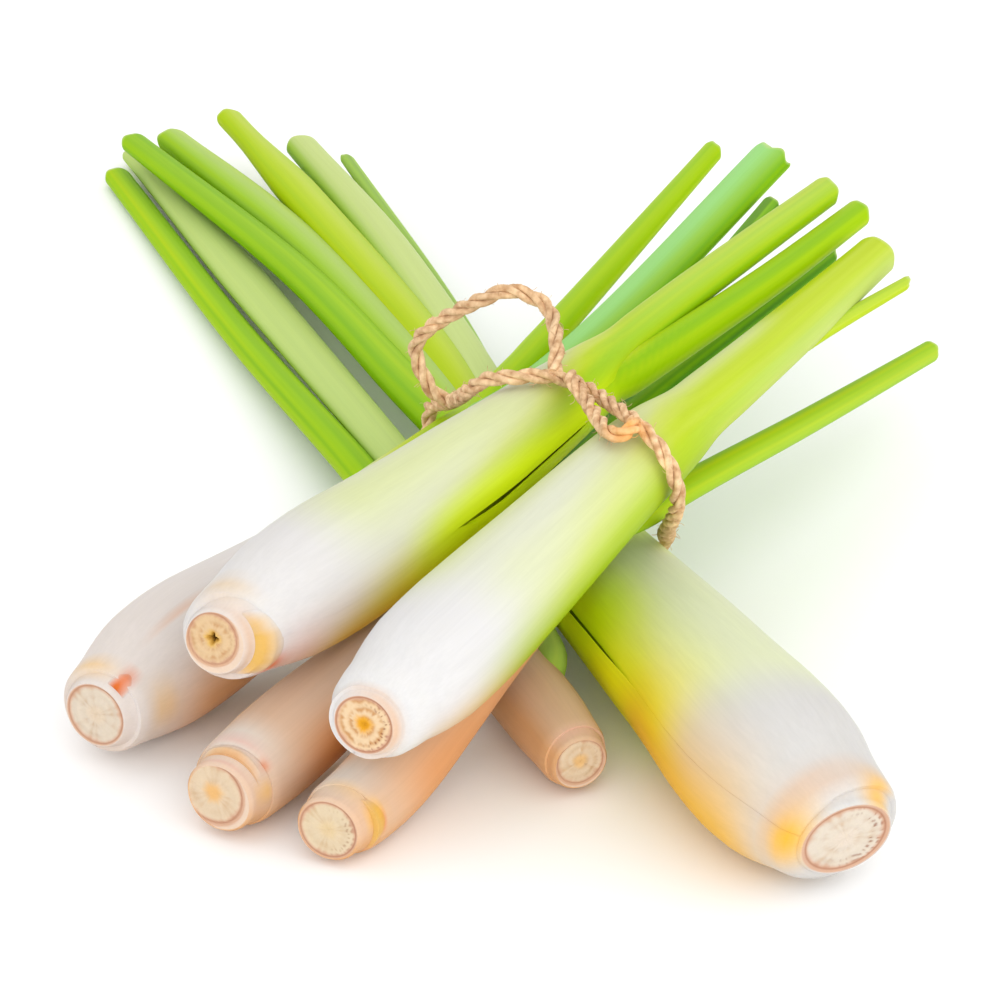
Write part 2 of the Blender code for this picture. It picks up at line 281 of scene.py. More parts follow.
# %% The three stalks under them
lower_left = Stalk(
    "stalk_lower_left",
    route=[(-50.5, -41.5, 8), (-39.5, -25.5, 8.7), (-23, -10, 12.6), (-4, 14, 17.8), (4, 32, 18.7)],
    girth=[(0, 4.6), (7, 7.6), (17, 9.1), (38, 7.2), (62, 5.0), (84, 2.4)],
    leaves=[
        Leaf(
            [(-6, 12, 17.5), (8, 40.5, 19), (30.4, 89, 21)],
            [(0, 2.6), (1, 1.6)], sheath=1.6, green=0.64, tint=(PALE_LEAF, 2.6, 0.1),
        ),
        Leaf(
            [(-4, 10, 18), (15.4, 40.1, 20), (38.5, 86, 21.5)],
            [(0, 3.3), (1, 3.4)], flat=0.4, green=0.82, tint=(BLUE_LEAF, 2.8, 1.0),
            skew=1.4, ragged=0.6,
        ),
    ],
    flat=0.86,
    turn=-1.7,
    cut_faces=(-0.50, -0.86, 0.05),
    ring=(1.2, 0.4, 0.5),
    growth=dict(start=46, length=50, side=0.4, early=8, neck=50),
    tan=0.36,
    patches=[
        # Peach on the lower right flank is set bright as painted light against the shade of the
        # stalk above, and amber is set a little bright too
        (STAIN, 1.0, 0.3, 0.4, 4.6, 0.6), (RUST, 1.3, 0.10, 6, 26, 0.4),
        (AMBER_WITH_PAINTED_LIGHT, 0.1, 0.8, 2, 9, 0.5), (PEACH_WITH_PAINTED_LIGHT, -0.3, 1.3, 3, 50, 0.9),
        (RUST, -0.8, 1.0, 8, 60, 0.5), (AMBER_WITH_PAINTED_LIGHT, 1.9, 1.0, 0.2, 4, 0.45),
    ],
    face=dict(
        ground=(0.91, 0.85, 0.77), heart=(0.92, 0.84, 0.74), disc=0.99, off=(0.0, 0.0),
        hollow=0.0, rings=3.0, dots=0.0, rim=0.8, lines=0.25,
    ),
    scars=[(0.72, 1.28, 0.8, 3.6, 0.5, STAIN)],
)

lower_middle = Stalk(
    "stalk_lower_middle",
    route=[(-34.5, -57.5, 6), (-27, -46.5, 7), (-9.5, -27, 13.7), (5, -10, 20.5), (10.5, 1.5, 21)],
    girth=[(0, 4.7), (6, 6.0), (15, 6.4), (36, 5.0), (58, 3.7), (72, 2.0)],
    leaves=[
        Leaf(
            [(1.5, -14.5, 19.4), (13.5, 13, 21.3), (38, 72, 21)],
            [(0, 2.2), (1, 1.5)], sheath=3.6, green=1.0, tint=(PALE_LEAF, 2.2, 0.1),
        ),
        Leaf(
            [(2.5, -14.5, 19.4), (17, 11, 21.8), (45.5, 55.5, 22)],
            [(0, 2.2), (1, 1.4)], green=0.95, tint=(PALE_LEAF, 2.2, 0.1),
        ),
    ],
    flat=0.88,
    turn=-1.7,
    cut_faces=(-0.48, -0.87, 0.05),
    ring=(3.4, 0.4, 0.8),
    growth=dict(start=36, length=40, side=0.0, early=6, neck=40),
    tan=1.25,
    patches=[
        # Amber here is set a little brighter than the skin: painted light
        (PEARL, 1.7, 1.7, -2, 12, 0.85), (RUST, -0.1, 1.4, 6, 60, 0.9),
        (AMBER_WITH_PAINTED_LIGHT, 0.2, 0.45, 1.0, 3.6, 0.9), (STAIN, 0.75, 0.25, 2.6, 5.0, 0.6),
        (PINK, 1.6, 1.2, 3.4, 6.0, 0.6), (AMBER_WITH_PAINTED_LIGHT, 1.8, 1.0, 1.4, 3.4, 0.35),
        (PINK, 1.6, 1.4, 0.1, 1.6, 0.5),
    ],
    face=dict(
        ground=(0.92, 0.83, 0.71), heart=(0.96, 0.76, 0.50), disc=1.0, off=(-0.2, 0.1),
        hollow=0.0, rings=2.0, dots=0.1, rim=0.9, lines=0.25,
    ),
    scars=[(0.3, 2.6, 1.9, 3.3, 0.3, TAN)],
)

lower_right = Stalk(
    "stalk_lower_right",
    route=[
        (-21, -63.5, 5.2), (-14, -53.5, 6.2), (-0.8, -36.5, 14.2), (12.3, -19.5, 21.6),
        (19.6, -10.8, 21.3),
    ],
    girth=[(0, 4.3), (6, 5.2), (14, 5.6), (36, 4.2), (58, 3.3), (70, 2.0)],
    leaves=[
        Leaf(
            [(12, -21.5, 21), (23.2, -7.2, 20.6), (41, 18.5, 16.5), (59, 46, 12)],
            [(0, 2.4), (1, 1.65)], sheath=3.2, green=0.66, rib=1.1, tint=(PALE_LEAF, -0.4, 0.15),
        ),
    ],
    flat=0.88,
    turn=-1.9,
    cut_faces=(-0.40, -0.91, 0.05),
    ring=(3.0, 0.5, 0.0),
    growth=dict(start=34, length=30, side=0.0, early=4, neck=40),
    tan=1.35,
    patches=[
        # Amber here is set a little brighter than the skin: painted light
        (PEARL, 1.9, 1.5, -2, 12, 0.85), (RUST, 0.0, 1.5, 5, 50, 0.7),
        (AMBER_WITH_PAINTED_LIGHT, 0.3, 0.7, 1.6, 5.4, 0.95), (STAIN, 0.1, 0.5, 3.2, 5.2, 0.6),
        (AMBER_WITH_PAINTED_LIGHT, 1.4, 1.2, 1.0, 4.5, 0.3),
    ],
    face=dict(
        ground=(0.92, 0.84, 0.71), heart=(0.93, 0.83, 0.66), disc=0.99, off=(0.0, 0.0),
        hollow=0.0, rings=2.0, dots=0.8, rim=0.9, lines=0.2,
    ),
    scars=[(-0.7, 0.9, 2.6, 5.4, 0.45, HONEY)],
)
under = (lower_left, lower_middle, lower_right)
print("widest of each in mm:", [max(2 * wide for _, wide in stalk.girth) for stalk in under])

# %% The two stalks that cross below
crossing_large = Stalk(
    "stalk_crossing_large",
    route=[
        (41.6, -72.5, 9.8), (33.5, -58, 10.9), (23, -31.5, 9.6),
        (11.5, -6.5, 9.6), (0, 23.5, 8.5), (-5, 36, 8.5),
    ],
    girth=[
        (0, 6.2), (5, 9.2), (10, 10.9), (19, 11.8),
        (44, 10.1), (72, 8.3), (100, 6.6), (118, 3.0),
    ],
    leaves=[
        Leaf(
            [(-2.5, 22, 8.5), (-12.5, 42, 8.5), (-29, 77, 8), (-54.1, 120.2, 6.5)],
            [(0, 3.4), (1, 1.9)], green=0.78, tint=(PALE_LEAF, 0.9, 0.12),
        ),
        Leaf(
            [(-1.5, 24, 9), (-10, 45, 8.5), (-27.5, 84.5, 7.5), (-48.6, 122.2, 6)],
            [(0, 3.3), (0.8, 2.9), (1, 2.2)], green=0.72, tint=(PALE_LEAF, 0.5, 0.6),
        ),
        Leaf(
            [(-0.5, 26, 9.5), (-9, 51.5, 9.5), (-26, 93, 8.5), (-40.2, 126.4, 7.5)],
            [(0, 3.0), (0.8, 3.0), (0.88, 1.9), (1, 1.9)], green=0.52, tint=(PALE_LEAF, 0.3, 0.3),
        ),
        Leaf(
            [(1, 26, 9), (-4.6, 47.5, 9), (-16.5, 84.5, 8.5), (-29.2, 118, 7)],
            [(0, 3.7), (0.6, 3.1), (1, 2.3)],
            sheath=1.6, opens=34.0, retreat=(0.08, 0.0), lift=0.25,
            rib=1.3, green=0.74, tint=(PALE_LEAF, 0.9, 1.1),
        ),
        Leaf([(2, 32, 8), (-7.5, 67.5, 8), (-22.5, 114, 7)], [(0, 1.6), (1, 0.95)], green=0.84),
    ],
    flat=0.8,
    turn=-3.45,
    cut_faces=(0.35, -0.90, -0.26),
    ring=(1.4, 0.9, 0.0),
    growth=dict(start=57, length=30, side=3.8, early=50, neck=85),
    tan=0.08,
    patches=[
        # Grey dims the base as painted shade; olive, lime and amber are set bright as painted light
        # where this stalk lies in the shade of the stalks above
        (GREY_PAINTED_SHADE, 2.2, 9.0, -9, 36, 0.6), (IVORY, 1.3, 2.3, 14, 78, 0.95),
        (OLIVE_WITH_PAINTED_LIGHT, 3.6, 2.2, 18, 72, 1.2), (LIME_WITH_PAINTED_LIGHT, 2.8, 1.2, 42, 100, 1.0),
        (LIME_WITH_PAINTED_LIGHT, 1.4, 1.8, 58, 110, 0.75), (AMBER_WITH_PAINTED_LIGHT, 3.8, 2.0, 1, 44, 1.0),
        (AMBER_WITH_PAINTED_LIGHT, 3.5, 0.8, 10, 44, 0.9), (AMBER_WITH_PAINTED_LIGHT, 3.0, 1.2, -2.5, 5.6, 1.0),
        (AMBER_WITH_PAINTED_LIGHT, 0.9, 0.6, -2.5, 5.0, 0.8), (TAN, 2.2, 2.0, 0.2, 7, 0.5),
    ],
    face=dict(
        ground=(0.92, 0.87, 0.80), heart=(0.93, 0.87, 0.80), disc=0.95, off=(0.0, 0.0),
        hollow=0.0, rings=3.0, dots=1.5, rim=0.9, lines=0.3,
    ),
)

crossing_small = Stalk(
    "stalk_crossing_small",
    route=[(10, -48, 4.9), (5, -35.5, 5), (-3.5, -17, 5.8), (-14, 8, 6.8), (-18, 18, 6.6)],
    girth=[(0, 3.7), (6, 4.8), (14, 5.2), (36, 4.6), (62, 3.6), (74, 2.2)],
    leaves=[
        Leaf(
            [(-12, 3, 6.8), (-19.2, 24, 6), (-36.8, 67.5, 3), (-56.6, 119.3, 1.3)],
            [(0, 2.7), (1, 1.9)], sheath=2.0, green=0.71, tint=(PALE_LEAF, 0.8, 0.08),
        ),
        Leaf(
            [
                (5.5, -38, 6), (6.2, -26, 7.8), (-3, -3, 8.2),
                (-14.3, 26, 6.9), (-33.8, 75, 4.5), (-54, 126, 1.5),
            ],
            [(0, 2.0), (0.4, 3.0), (0.75, 3.4), (1, 2.2)], flat=0.55, ahead=55.0,
            green=0.70, tint=(PALE_LEAF, 1.6, 0.8),
        ),
    ],
    flat=0.9,
    turn=-1.5,
    cut_faces=(0.38, -0.92, 0.0),
    ring=(2.0, 0.4, 0.0),
    growth=dict(start=30, length=40, side=0.0, early=4, neck=40),
    tan=1.35,
    patches=[(RUST, 0.3, 1.2, 8, 50, 0.5), (PINK, 1.6, 1.2, 0.2, 3, 0.5)],
    face=dict(
        ground=(0.92, 0.83, 0.71), heart=(0.95, 0.78, 0.54), disc=0.97, off=(0.0, 0.1),
        hollow=0.0, rings=3.0, dots=0.3, rim=0.8, lines=0.3,
    ),
)

STALKS = [
    upper_left, upper_right, lower_left, lower_middle, lower_right, crossing_large, crossing_small,
]
print(len(STALKS), "stalks,", sum(len(stalk.leaves) for stalk in STALKS), "leaves")

# %% [markdown]
# ## Lines and tables that bend smoothly
# A route is a few points, and a stalk bends smoothly through them. The curve used here passes
# through every point, as a bent green stem does. Each place along it gets a small frame of
# three directions: sideways, upwards and along. Rings of skin are drawn in that frame.

# %% Routes
ROUTE_FINE = 12


def smooth_route(points):
    """Dense points of a smooth curve through the given ones, about the common centre."""
    points = np.asarray(points, float) - CENTRE
    ends = np.vstack([2 * points[0] - points[1], points, 2 * points[-1] - points[-2]])
    t = np.arange(ROUTE_FINE)[:, None] / ROUTE_FINE
    dense = []
    for a, b, c, d in zip(ends, ends[1:], ends[2:], ends[3:]):
        bend = (2 * a - 5 * b + 4 * c - d) * t**2 + (3 * b - a - 3 * c + d) * t**3
        dense.append(0.5 * (2 * b + (c - a) * t + bend))
    return np.vstack([*dense, points[-1]])


def unit(v):
    return v / np.linalg.norm(v, axis=-1, keepdims=True)


class Route:
    """A smooth line that can be asked for its point and direction at any distance."""

    def __init__(self, points):
        self.points = smooth_route(points)
        steps = np.linalg.norm(np.diff(self.points, axis=0), axis=1)
        self.along = np.concatenate([[0.0], np.cumsum(steps)])
        self.total = self.along[-1]
        self.slopes = unit(np.gradient(self.points, self.along, axis=0))

    def at(self, s):
        place = np.stack([np.interp(s, self.along, self.points[:, i]) for i in range(3)], -1)
        slope = unit(np.stack([np.interp(s, self.along, self.slopes[:, i]) for i in range(3)], -1))
        before = np.minimum(s, 0.0)[..., None]
        after = np.maximum(s - self.total, 0.0)[..., None]
        return place + slope * (before + after), slope


def across(slope):
    """The sideways and upwards directions of a ring that faces along slope."""
    side = unit(np.cross(slope, [0.0, 0.0, 1.0]))
    return side, np.cross(side, slope)


def ease(t):
    t = np.clip(t, 0.0, 1.0)
    return t * t * (3 - 2 * t)


def table(rows, s):
    """A value read from (distance, value) rows, rounded where one row meets the next."""
    s = np.asarray(s, float)
    places, values = np.array(rows, float).T
    reach = 0.04 * (places[-1] - places[0])
    return sum(np.interp(s + k * reach, places, values) for k in (-1.5, -0.5, 0.5, 1.5)) / 4


longest = max(Route(leaf.route).total for stalk in STALKS for leaf in stalk.leaves)
print("longest leaf blade in mm:", round(longest))

# %% [markdown]
# ## Colour by growth
# A stalk is white where it grew in the dark and green where it saw the light, and the change
# runs up one side sooner than the other. That can't be a picture, so every point of the skin
# gets its colour from rules: how far it is from the base, on which side, and in which streak.
# The streaks run lengthwise, as the fibres of a grass do. The result is stored as a colour
# attribute, and fine veins are added later in the material.

# %% Colours of the skin
def growth_colour(green):
    places = [row[0] for row in GROWTH]
    return np.stack([np.interp(green, places, [row[1][i] for row in GROWTH]) for i in range(3)], -1)


def mixed(colour, other, much):
    much = np.clip(much, 0.0, 1.0)[..., None]
    return colour * (1 - much) + other * much


def streaks(angle, s, seed, many=9):
    """Soft lengthwise streaks round a stalk, from about -1 to 1."""
    dice = np.random.default_rng(seed)
    total = np.zeros(np.broadcast(angle, s).shape)
    for k in range(1, many + 1):
        phase, wander = dice.uniform(0, 2 * np.pi, 2)
        total += np.sin(k * angle + phase + 0.8 * np.sin(s / (18 + 6 * k) + wander)) / k**0.7
    return total / 2.6


def beside(angle, middle, half):
    """1 on one side of a stalk, fading to 0 at half an angle away from it."""
    return ease(1 - abs((angle - middle + np.pi) % (2 * np.pi) - np.pi) / half)


def skin_colour(stalk, leaf, s, angle, seed):
    """Colour of the skin at a distance from the base, on the side that the angle gives."""
    rule = stalk.growth
    grain = streaks(angle, s, seed)
    fine = streaks(2 * angle, s, seed + 5, many=8)
    early = rule["early"] * (0.5 + 0.5 * np.cos(angle - rule["side"]))
    early = early + np.maximum(0.0, s - rule["neck"])
    share = ease((s + early - rule["start"]) / rule["length"] + 0.03 * grain)
    green = (leaf.green if leaf else 0.7) * share
    colour = growth_colour(green * (1 + 0.09 * grain + (0.2 if leaf else 0.05) * fine))
    if leaf:
        hue, side, much = leaf.tint
        here = ease(0.5 + 0.7 * np.cos(angle - side) + 0.16 * grain + 0.16 * fine)
        colour = mixed(colour, hue, much * here * ease((s - 45) / 60))
    # Tan is mixed in more on the underside of a stalk than on its top: painted shade, added to the
    # dry tan of the base
    under = 0.55 + 0.45 * ease(0.45 - 0.6 * np.sin(angle + 0.5))
    colour = mixed(colour, TAN, stalk.tan * ease((62 - s) / 50) * under + 0.02 * grain)
    for hue, middle, half, start, stop, much in stalk.patches:
        soft = min(12.0, 0.5 * (stop - start))
        along = ease((s - start) / soft) * ease((stop - s) / soft)
        colour = mixed(colour, hue, much * beside(angle, middle, half) * along * (1 + 0.12 * grain))
    return colour


print("from white:", np.round(growth_colour(0.0), 2), "to green:", np.round(growth_colour(1.0), 2))

# %% [markdown]
# ## Skins as meshes
# A sheath is a thin sheet rolled round the stalk. Its outer and inner sides are two grids of
# points, joined at the free edges and at both ends, so it is a closed body with a real edge.
# A plain tube would be simpler, but it has no free edge where a leaf opens. Each point also
# keeps its place along and round the stalk, called its grain, so that the material can draw
# fibres that follow every bend.

# %% Grids of points into meshes
def grid_faces(rows, columns, first=0, closed=False, flip=False):
    """Four-cornered faces of a grid of points numbered row by row."""
    i = np.arange(rows - 1)[:, None]
    j = np.arange(columns if closed else columns - 1)[None]
    a = first + i * columns + j
    b = first + i * columns + (j + 1) % columns
    faces = np.stack([a, b, b + columns, a + columns], -1).reshape(-1, 4)
    return faces[:, ::-1] if flip else faces


def skin_mesh(name, points, faces, tint, grain):
    """A mesh in metres with the two attributes that the materials read.

    What would dip below the table is pressed flat on it, as the weight of the bunch does."""
    points = np.column_stack([points[:, :2], np.maximum(points[:, 2], 0.0)])
    mesh = bpy.data.meshes.new(name)
    mesh.from_pydata((points * MM).tolist(), [], [list(map(int, face)) for face in faces])
    tint = np.hstack([LIGHTNESS * tint, np.ones((len(tint), 1))])
    colour = mesh.attributes.new("tint", "FLOAT_COLOR", "POINT")
    colour.data.foreach_set("color", tint.astype(np.float32).ravel())
    fibres = mesh.attributes.new("grain", "FLOAT_VECTOR", "POINT")
    fibres.data.foreach_set("vector", grain.astype(np.float32).ravel())
    mesh.shade_smooth()
    mesh.set_sharp_from_angle(angle=math.radians(50))
    return mesh


def as_object(name, mesh, material):
    mesh.materials.append(material)
    return add_object(name, mesh)


# %% [markdown]
# ## The skin material
# Lemongrass skin is smooth, moist and a little see-through, with fine raised veins. The colour
# comes from the tint attribute. Long stretched noise on the grain darkens and lightens it in
# fibres, and the same noise raises them very slightly. Some light is let into the surface,
# because the white base glows rather than shines.

# %% Node helpers
def node(tree, kind, inputs, **settings):
    """A new node: its settings, then each input, by name or number, as a value or a link."""
    made = tree.nodes.new(kind)
    for name, value in settings.items():
        setattr(made, name, value)
    for key, value in inputs.items():
        if isinstance(value, bpy.types.NodeSocket):
            tree.links.new(value, made.inputs[key])
        else:
            made.inputs[key].default_value = value
    return made


def output(tree, kind, inputs, **settings):
    """The first output of a new node."""
    return node(tree, kind, inputs, **settings).outputs[0]


def read_attribute(tree, name):
    return node(tree, "ShaderNodeAttribute", {}, attribute_name=name).outputs


def maths(tree, operation, *values):
    return output(tree, "ShaderNodeMath", dict(enumerate(values)), operation=operation)


def noise(tree, place, scale, detail):
    return output(tree, "ShaderNodeTexNoise", {"Vector": place, "Scale": scale, "Detail": detail})


def fibre_noise(tree, grain, squeeze, scale, detail):
    """Noise that is stretched along the stalk."""
    inputs = {"Vector": grain, "Scale": (1.0, 1.0, squeeze)}
    return noise(tree, output(tree, "ShaderNodeMapping", inputs), scale, detail)


def remap(tree, source, low, high, to_low, to_high):
    inputs = {"Value": source, "From Min": low, "From Max": high}
    return output(tree, "ShaderNodeMapRange", inputs | {"To Min": to_low, "To Max": to_high})


def scaled_colour(tree, colour, factor):
    return output(tree, "ShaderNodeVectorMath", {0: colour, "Scale": factor}, operation="SCALE")


def raised(tree, height, strength, distance):
    """A bump, with its distance in metres."""
    inputs = {"Height": height, "Strength": strength, "Distance": distance}
    return output(tree, "ShaderNodeBump", inputs)


def new_material(name, roughness):
    material = bpy.data.materials.new(name)
    material.use_nodes = True
    shader = material.node_tree.nodes["Principled BSDF"]
    shader.inputs["Roughness"].default_value = roughness
    return material, material.node_tree, shader


# %% The skin
def make_skin():
    material, tree, shader = new_material("lemongrass_skin", 0.42)
    grain = read_attribute(tree, "grain")["Vector"]
    tint = read_attribute(tree, "tint")["Color"]
    broad = fibre_noise(tree, grain, squeeze=0.02, scale=0.9, detail=3.0)
    fine = fibre_noise(tree, grain, squeeze=0.012, scale=3.2, detail=2.0)
    shade = remap(tree, broad, 0.3, 0.7, 0.97, 1.01)
    veins = remap(tree, fine, 0.35, 0.65, 0.98, 1.01)
    colour = scaled_colour(tree, scaled_colour(tree, tint, shade), veins)
    tree.links.new(colour, shader.inputs["Base Color"])
    tree.links.new(raised(tree, fine, 0.1, 0.00006), shader.inputs["Normal"])
    shader.inputs["Specular IOR Level"].default_value = 0.04
    shader.inputs["Subsurface Weight"].default_value = 0.1
    shader.inputs["Subsurface Radius"].default_value = (1.0, 0.9, 0.5)
    shader.inputs["Subsurface Scale"].default_value = 0.0015
    return material


skin = make_skin()
print("skin material with", len(skin.node_tree.nodes), "nodes")

# %% [markdown]
# ## The core of a stalk
# Under its outermost sheath a stalk is a smooth, swollen body. It narrows to a point inside
# the neck, where only leaves are left. It is one grid of rings along the stalk's line, and the
# rings near the base are tilted to lie in the plane of the knife cut. The cut face itself is a
# shallow dish of rings with the younger leaves showing as a spiral.

# %% Body rings
# Over this length the rings turn from the plane of the cut to the line, in millimetres
CUT_BLEND = 9.0
# The bare end widens to the full stalk by this much for each millimetre
BARE_WIDENS = 0.9


def body_frame(stalk, line, s):
    """Place and ring directions along a stalk; rings near the base follow the cut."""
    place, slope = line.at(s)
    cut = -unit(np.array(stalk.cut_faces))
    straight = np.minimum(1.0, s / CUT_BLEND)[..., None]
    return place, unit(cut + (slope - cut) * np.clip(straight, 0.0, 1.0))


def ring_points(place, slope, wide, high, angle):
    """Points round each place; every point may have its own place, direction and size."""
    side, up = across(slope)
    return place + side * (wide * np.cos(angle))[..., None] + up * (high * np.sin(angle))[..., None]


def body_wide(stalk, s, bare=0.0):
    """Half width of a stalk; the first few millimetres are narrow where sheaths were cut away."""
    bare_end = stalk.girth[0][1] + BARE_WIDENS * np.maximum(s - bare, 0.0)
    return np.minimum(table(stalk.girth, s), bare_end)


def body_flat(stalk, line, s):
    return 1.0 + (stalk.flat - 1.0) * np.minimum(1.0, 1.5 * s / line.total)


def wobble(angle, s, seed, size=0.10):
    """Slow unevenness of a grown surface, in millimetres."""
    return size * streaks(angle, s * 0.8, seed, many=4)


print("upper left base in mm:", [round(float(2 * body_wide(upper_left, s)), 1) for s in (0, 5, 20)])


# %% The cut face
# Points round the core, and rings of points from the rim of its cut to the middle
CORE_SIDES = 128
FACE_RINGS = 26
# Depths in millimetres: of the ringed disc, of its rings and of a hollow heart
DISC_DEEP = 0.10
RINGS_DEEP = 0.10
HEART_DEEP = 1.6
SPECK = linear(0.58, 0.32, 0.20)


def ring_waves(look, part, turn):
    """A wave from 0 to 1 that winds outwards on the cut, as the rolled leaves do."""
    return 0.5 + 0.5 * np.cos(2 * np.pi * (part * look["rings"] + turn / (2 * np.pi)))


def face_colour(look, part, turn, rough):
    """Colour of the cut: rings, a heart, dots where fibres end, a rim, its line, a pale edge."""
    part = part + 0.09 * rough * ease(part / 0.5) * ease((0.95 - part) / 0.2)
    ground = linear(*look["ground"])
    lines = look["lines"] * ring_waves(look, part, turn) ** 2 * (0.6 + 0.5 * rough) + 0.25 * rough
    specks = ease((np.sin(turn * 26 + 5 * rough) - 0.1) * 2) * beside(turn, -0.2, 2.4)
    layers = [
        (ground * (0.75, 0.55, 0.38), lines),
        (linear(*look["heart"]), ease((0.42 - part) / 0.3)),
        (SPECK, look["dots"] * specks * ease(1 - abs(part - 0.88) / 0.07)),
        (SPECK, look["dots"] * 0.6 * specks * ease(1 - abs(part - 0.70) / 0.07)),
        (linear(0.88, 0.70, 0.59), look["rim"] * ease((part - 0.80) / 0.12)),
        (linear(0.70, 0.47, 0.34), 0.8 * look["rim"] * ease(1 - abs(part - 0.93) / 0.05)),
        (linear(0.95, 0.85, 0.76), ease((part - 1.02) / 0.06)),
        # The hollow middle of the cut is painted dark brown where it sinks in: painted shade
        (linear(0.42, 0.26, 0.09), look["hollow"] * 1.4 * ease((0.17 - part) / 0.12)),
    ]
    colour = np.tile(ground, (len(turn), 1))
    for hue, much in layers:
        colour = mixed(colour, hue, much)
    return colour


def cut_face(stalk, rim, radius, seed):
    """Rows of points from the rim of the cut to its middle, with their colours and grain."""
    look = stalk.face
    middle = rim.mean(axis=0)
    angle = 2 * np.pi * (np.arange(CORE_SIDES) + 0.5) / CORE_SIDES
    inward = unit(-np.array(stalk.cut_faces))
    rows, tints, grains = [], [], []
    for r in np.linspace(1.0, 0.0, FACE_RINGS + 1)[1:-1]:
        x, y = r * np.cos(angle), r * np.sin(angle)
        away_x, away_y = x - look["off"][0], y - look["off"][1]
        turn = np.arctan2(away_y, away_x)
        part = np.hypot(away_x, away_y) / look["disc"]
        corners = 1 + 0.3 * look["hollow"] * np.cos(4 * turn) * ease((0.5 - part) / 0.4)
        rough = streaks(turn * 3, part * 60, seed)
        deep = DISC_DEEP * ease((1.02 - part) / 0.08) + 0.05 * rough * (1 - r)
        deep = deep + RINGS_DEEP * ring_waves(look, part, turn)
        deep = deep + look["hollow"] * HEART_DEEP * ease((0.24 * corners - part) / 0.2)
        rows.append(rim + (middle - rim) * (1 - r) + inward * (deep * ease((1 - r) * 12))[:, None])
        tints.append(face_colour(look, part / corners, turn, rough))
        grains.append(np.stack([radius * x, radius * y, np.zeros(CORE_SIDES)], -1))
    return rows, tints, grains


# %% The core
# Between rings of points along the core, and from the outer to the inner side of a sheath
CORE_STEP = 1.5
SHEATH_THICK = 0.34
# From this part of its line on, the core narrows, and loses this much of its width
CORE_NARROWS = 0.55
CORE_LOSES = 0.85


def make_core(stalk, line, seed):
    """The closed body inside the sheaths, from the cut face to its end inside the neck."""
    reach = 0.97 * line.total
    near_cut = [0.0, 0.12, 0.35, 0.8]
    s = np.concatenate([near_cut, np.linspace(1.4, reach, int(reach / CORE_STEP))])[:, None]
    angle = 2 * np.pi * (np.arange(CORE_SIDES)[None] + 0.5) / CORE_SIDES + 0 * s
    away = s + 0 * angle
    wide = body_wide(stalk, away, 0.6 * stalk.ring[0]) - SHEATH_THICK * ease((away - 1) / 6)
    wide = wide - 0.3 * (1 - ease(away / 0.4)) + wobble(angle, away, seed) * ease((away - 1) / 5)
    narrowed = ease((away / line.total - CORE_NARROWS) / (1 - CORE_NARROWS))
    wide = wide * (1 - CORE_LOSES * narrowed)
    place, slope = body_frame(stalk, line, away)
    points = ring_points(place, slope, wide, wide * body_flat(stalk, line, away), angle)
    # What shows through an open sheath is deep in shade
    opens = min([leaf.opens for leaf in stalk.leaves if leaf.opens] or [reach])
    shade = 1 - 0.6 * ease((away - opens) / 6)
    tint = skin_colour(stalk, None, away, angle, seed) * shade[..., None]
    grain = np.stack([wide * np.cos(angle), wide * np.sin(angle), away], -1)
    rows, tints, grains = cut_face(stalk, points[0], stalk.girth[0][1], seed)
    # One grid from the middle of the face to the far end, with one point to close each end
    flat = []
    for on_face, on_body in ((rows, points), (tints, tint), (grains, grain)):
        grid = np.concatenate([np.array(on_face[::-1]), on_body])
        poles = [grid[end].mean(axis=(0, 1)) for end in ([0], [-1])]
        flat.append(np.vstack([grid.reshape(-1, 3), *poles]))
    faces = grid_faces(len(grid), CORE_SIDES, closed=True).tolist()
    start = len(grid) * CORE_SIDES
    last = start - CORE_SIDES
    for j in range(CORE_SIDES):
        faces.append([start, (j + 1) % CORE_SIDES, j])
        faces.append([start + 1, last + j, last + (j + 1) % CORE_SIDES])
    return skin_mesh(stalk.name + "_core", flat[0], faces, flat[1], flat[2])


# %% [markdown]
# ## Sheaths and leaves
# A leaf is one thin sheet from base to tip. Low down it wraps the whole stalk and one free edge
# lies over the other. Then it opens, leaves the stalk, narrows and rolls up into the blade.
# So its section is always part of a ring, and only the centre, the radius and the angles of the
# two free edges change along it. Leaves that start deeper inside begin under the skin. Sculpting
# each leaf by hand would work too, but one rule keeps them all in step with their stalks.

# %% The edges of a sheet
# How far a rolled blade goes round, where 1 is once
ROLLED = 1.08
# How far along its blade a leaf shows which way it goes, in millimetres
LOOK_AHEAD = 18.0


def join_distance(line, blade):
    """The distance along the stalk that is nearest the root of a blade."""
    return line.along[np.argmin(np.linalg.norm(line.points - blade.points[0], axis=1))]


def leaf_direction(stalk, line, blade, joined):
    """The side of the stalk that a leaf goes out on, as an angle round the stalk."""
    place, slope = body_frame(stalk, line, np.array([joined + LOOK_AHEAD]))
    side, up = across(slope)
    out = blade.at(np.array([LOOK_AHEAD]))[0] - place
    return math.atan2(float((out * up).sum()), float((out * side).sum()))


def sheet_edges(stalk, leaf, s, opened, rolled, away):
    """Angles of the two free edges of a sheet: wrapped, then opened, then rolled up."""
    if leaf.sheath is None:
        wraps = leaf.wraps or (away - 0.75 * np.pi, away + 0.75 * np.pi)
        low, high = wraps[0] + 0 * s, wraps[1] + 0 * s
    else:
        low = stalk.turn + leaf.retreat[0] * opened
        high = stalk.turn + 2 * np.pi + 0.03 - leaf.retreat[1] * opened
    middle = (low[-1] + high[-1]) / 2
    rib = middle + (leaf.rib - middle + np.pi) % (2 * np.pi) - np.pi
    low = low + (rib - ROLLED * np.pi - low) * rolled
    high = high + (rib + ROLLED * np.pi - high) * rolled
    return low, high


